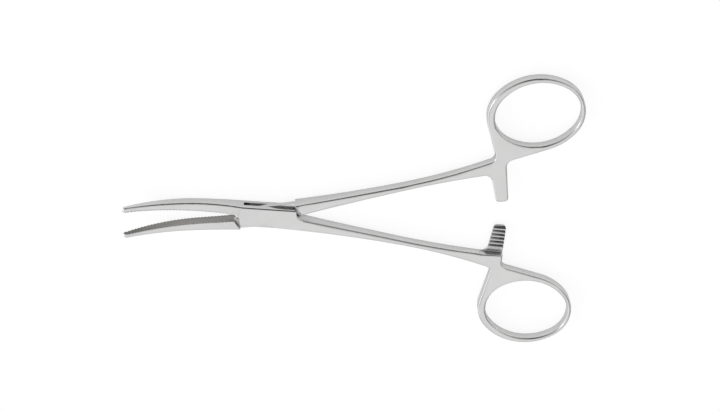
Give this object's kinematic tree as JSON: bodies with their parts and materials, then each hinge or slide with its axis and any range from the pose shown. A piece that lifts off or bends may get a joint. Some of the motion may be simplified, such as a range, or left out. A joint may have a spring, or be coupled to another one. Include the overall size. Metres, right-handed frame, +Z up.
{
  "type": "hemostat forceps",
  "caption": "Curved clamp forceps in satin steel, with grooved jaws, a slotted box hinge, toothed locking bars and oval finger rings, standing slightly open.",
  "frame": {"origin": "on the hinge axis, at the flat underside of the box that the forceps lie on", "axes": "+X from the hinge towards the finger rings, +Y towards the ring of the half that passes through the box, +Z up, the way the jaw tips curve"},
  "size_m": [0.1368, 0.0922, 0.0069],
  "materials": {
    "instrument_steel": "satin, with polished edges",
    "pin_steel": "satin, ground flush"
  },
  "bodies": {
    "box_side": {"box_half": "instrument_steel", "lock_pin": "pin_steel"},
    "through_side": {"through_half": "instrument_steel"}
  },
  "joints": [
    {"name": "box_hinge", "type": "hinge", "parent": "box_side", "child": "through_side", "pos_m": [0, 0, 0.0024], "axis": [0, 0, 1], "range_deg": [-9.9, 30]}
  ]
}
